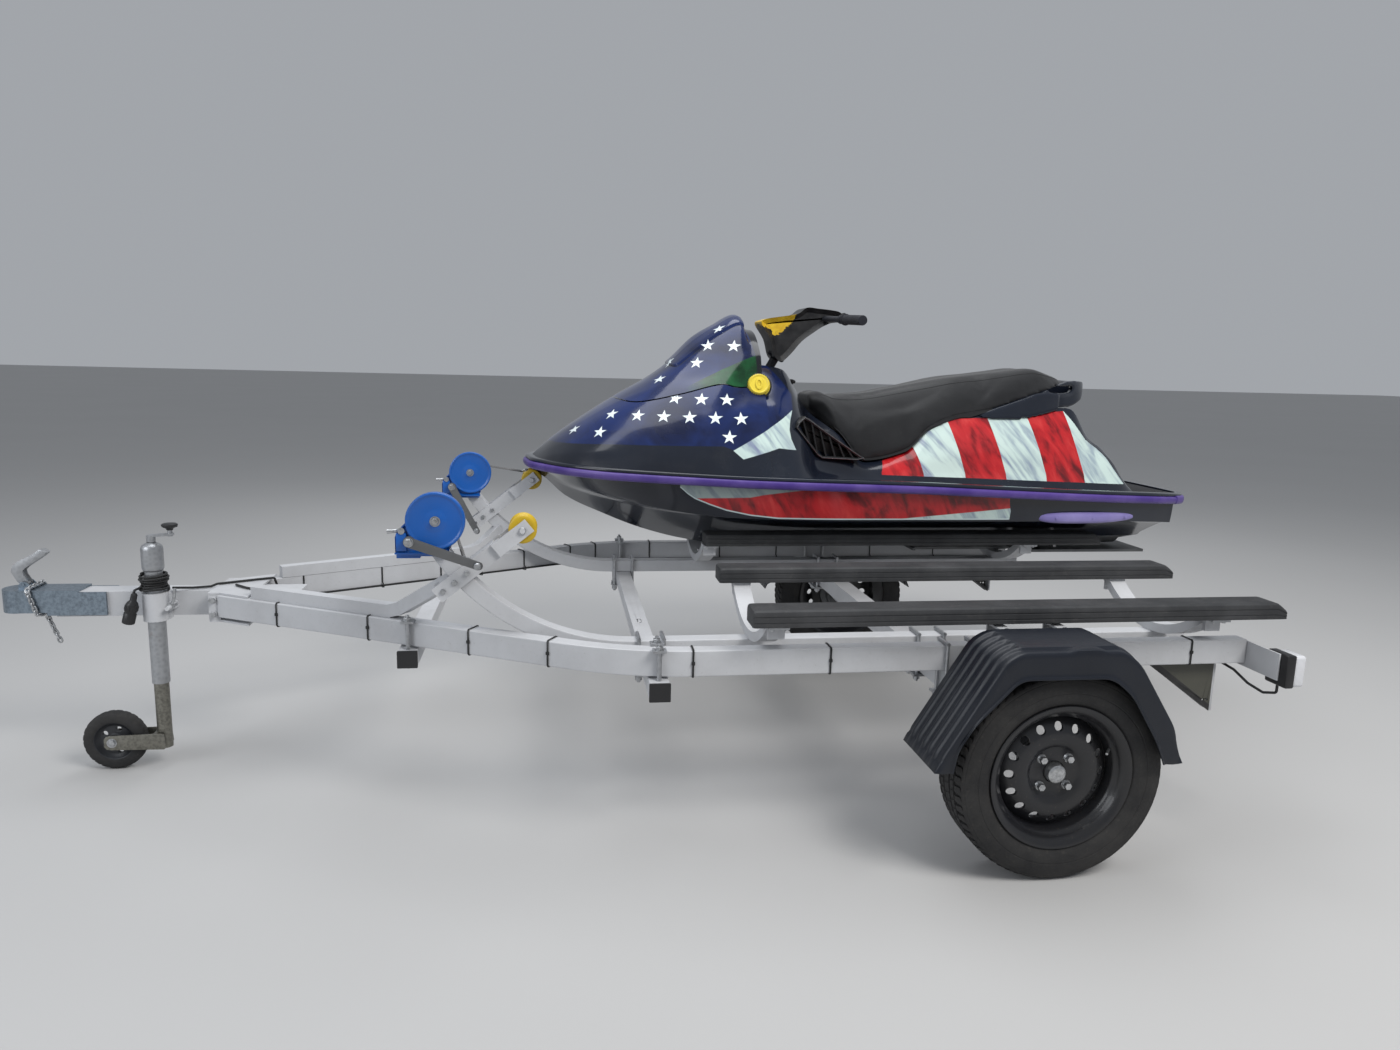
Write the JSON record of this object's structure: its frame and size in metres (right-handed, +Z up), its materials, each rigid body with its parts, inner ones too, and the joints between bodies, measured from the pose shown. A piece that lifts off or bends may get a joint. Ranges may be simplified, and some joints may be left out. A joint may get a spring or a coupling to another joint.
{
  "type": "personal watercraft on a two-lane trailer",
  "caption": "Single-seat jet watercraft with a stars-and-stripes finish, strapped on the starboard lane of a light grey two-place road trailer with winches and a jockey wheel.",
  "frame": {"origin": "on the ground plane under the middle of the whole box", "axes": "x runs aft from the coupler to the stern, y to starboard towards the lane that carries the watercraft, z up"},
  "size_m": [3.957, 2.03, 1.4359],
  "materials": {
    "frame_paint": "light grey baked paint, slightly weathered",
    "galvanised": "dull galvanised steel",
    "black_plastic": "matt black moulded plastic",
    "yellow_plastic": "yellow plastic",
    "bunk_rubber": "dark grey ribbed rubber profile",
    "guard_plastic": "blue-black moulded plastic",
    "lamp_plastic": "clear lens on a black base",
    "tyre_rubber": "black tyre rubber",
    "rim_paint": "black painted steel",
    "winch_blue": "blue powder coat",
    "strap_web": "dark woven strap",
    "cable_black": "black cable jacket",
    "hull_gloss": "gloss black-blue gelcoat with printed decoration",
    "purple_bumper": "purple extruded bumper",
    "lavender_plastic": "pale purple plastic",
    "engine_metal": "cast light alloy",
    "seat_vinyl": "black grained vinyl",
    "grip_rubber": "black ribbed rubber"
  },
  "bodies": {
    "trailer": {"axle": "frame_paint", "bow_arms": "frame_paint", "bumper": "purple_bumper", "bunks": "bunk_rubber", "cable_coil": "cable_black", "cable_plug": "black_plastic", "clamps": "galvanised", "coupler_body": "galvanised", "cradles": "frame_paint", "cross_members": "frame_paint", "deck": "hull_gloss", "drawbar": "frame_paint", "drawbar_bracket": "frame_paint", "end_caps": "black_plastic", "engine": "engine_metal", "fuel_cap": "yellow_plastic", "hull": "hull_gloss", "intake_grate": "engine_metal", "jet_pump": "engine_metal", "jockey_clamp": "galvanised", "keel_beam_left": "frame_paint", "keel_beam_right": "frame_paint", "light_cable": "cable_black", "mudguard_left": "guard_plastic", "mudguard_right": "guard_plastic", "rail_left": "frame_paint", "rail_right": "frame_paint", "rear_brackets": "frame_paint", "ride_plate": "engine_metal", "side_vents": "black_plastic", "sponsons": "lavender_plastic", "stern_platform": "hull_gloss", "tail_lamps": "lamp_plastic", "winch_frames": "winch_blue", "winch_straps": "strap_web", "winch_struts": "frame_paint"},
    "wheel_left": {"tyre_left": "tyre_rubber", "rim_left": "rim_paint"},
    "wheel_right": {"tyre_right": "tyre_rubber", "rim_right": "rim_paint"},
    "coupler_lever": {"coupler_lever": "galvanised"},
    "jockey_column": {"jockey_tube": "galvanised"},
    "jockey_spindle": {"jockey_crank": "galvanised"},
    "jockey_nut": {"jockey_nut": "galvanised"},
    "jockey_fork": {"jockey_stem": "galvanised"},
    "jockey_roller": {"jockey_roadwheel": "tyre_rubber"},
    "winch_drum_left": {"winch_drum_left": "galvanised"},
    "winch_drum_right": {"winch_drum_right": "galvanised"},
    "winch_crank_left": {"winch_crank_left": "galvanised"},
    "winch_crank_right": {"winch_crank_right": "galvanised"},
    "bow_roller_left": {"bow_roller_left": "yellow_plastic"},
    "bow_roller_right": {"bow_roller_right": "yellow_plastic"},
    "handlebar": {"handlebar": "black_plastic", "grips": "grip_rubber"},
    "jet_nozzle": {"jet_nozzle": "engine_metal"},
    "impeller": {"impeller": "galvanised"},
    "seat": {"seat": "seat_vinyl", "grab_handle": "black_plastic"},
    "front_cover": {"front_cover": "hull_gloss"}
  },
  "joints": [
    {"name": "wheel_left", "type": "hinge", "parent": "trailer", "child": "wheel_left", "pos_m": [0.8135, -0.905, 0.2666], "axis": [0, 1, 0], "continuous": true},
    {"name": "wheel_right", "type": "hinge", "parent": "trailer", "child": "wheel_right", "pos_m": [0.8135, 0.905, 0.2666], "axis": [0, 1, 0], "continuous": true},
    {"name": "coupler_lever", "type": "hinge", "parent": "trailer", "child": "coupler_lever", "pos_m": [-1.9145, 0, 0.549], "axis": [0, 1, 0], "range_deg": [0, 30]},
    {"name": "jockey_height", "type": "slide", "parent": "trailer", "child": "jockey_column", "axis": [0, 0, 1], "range_m": [0, 0.24]},
    {"name": "jockey_spindle", "type": "hinge", "parent": "jockey_column", "child": "jockey_spindle", "pos_m": [-1.5445, -0.066, 0.69], "axis": [0, 0, 1], "continuous": true},
    {"name": "jockey_extension", "type": "slide", "parent": "jockey_column", "child": "jockey_nut", "axis": [0, 0, -1], "range_m": [0, 0.12]},
    {"name": "jockey_swivel", "type": "hinge", "parent": "jockey_nut", "child": "jockey_fork", "pos_m": [-1.5445, -0.066, 0.3], "axis": [0, 0, 1], "continuous": true},
    {"name": "jockey_wheel", "type": "hinge", "parent": "jockey_fork", "child": "jockey_roller", "pos_m": [-1.6795, -0.066, 0.088], "axis": [0, 1, 0], "continuous": true},
    {"name": "handlebar", "type": "hinge", "parent": "trailer", "child": "handlebar", "pos_m": [0.4135, 0.515, 1.262], "axis": [0.5, 0, 0.866], "range_deg": [-38, 38]},
    {"name": "jet_nozzle", "type": "hinge", "parent": "trailer", "child": "jet_nozzle", "pos_m": [1.8195, 0.515, 0.642], "axis": [0, 0, 1], "range_deg": [-20, 20]},
    {"name": "impeller", "type": "hinge", "parent": "trailer", "child": "impeller", "pos_m": [1.6175, 0.515, 0.642], "axis": [1, 0, 0], "continuous": true},
    {"name": "seat", "type": "hinge", "parent": "trailer", "child": "seat", "pos_m": [0.5235, 0.515, 1.086], "axis": [0, -1, 0], "range_deg": [0, 36]},
    {"name": "front_cover", "type": "hinge", "parent": "trailer", "child": "front_cover", "pos_m": [-0.1765, 0.515, 1.112], "axis": [0, 1, 0], "range_deg": [-50, 0]},
    {"name": "winch_drum_left", "type": "hinge", "parent": "trailer", "child": "winch_drum_left", "pos_m": [-0.6885, -0.515, 0.828], "axis": [0, 1, 0], "continuous": true},
    {"name": "winch_crank_left", "type": "hinge", "parent": "trailer", "child": "winch_crank_left", "pos_m": [-0.7505, -0.515, 0.779], "axis": [0, 1, 0], "continuous": true},
    {"name": "bow_roller_left", "type": "hinge", "parent": "trailer", "child": "bow_roller_left", "pos_m": [-0.4755, -0.515, 0.802], "axis": [0, 1, 0], "continuous": true},
    {"name": "winch_drum_right", "type": "hinge", "parent": "trailer", "child": "winch_drum_right", "pos_m": [-0.6885, 0.515, 0.828], "axis": [0, 1, 0], "continuous": true},
    {"name": "winch_crank_right", "type": "hinge", "parent": "trailer", "child": "winch_crank_right", "pos_m": [-0.7505, 0.515, 0.779], "axis": [0, 1, 0], "continuous": true},
    {"name": "bow_roller_right", "type": "hinge", "parent": "trailer", "child": "bow_roller_right", "pos_m": [-0.4755, 0.515, 0.802], "axis": [0, 1, 0], "continuous": true}
  ],
  "couplings": [
    {"joint": "jet_nozzle", "follows": "handlebar", "ratio": 0.5},
    {"joint": "winch_crank_left", "follows": "winch_drum_left", "ratio": -4.1},
    {"joint": "winch_crank_right", "follows": "winch_drum_right", "ratio": -4.1},
    {"joint": "jockey_spindle", "follows": "jockey_extension", "rad_per_m": 1256.6}
  ]
}
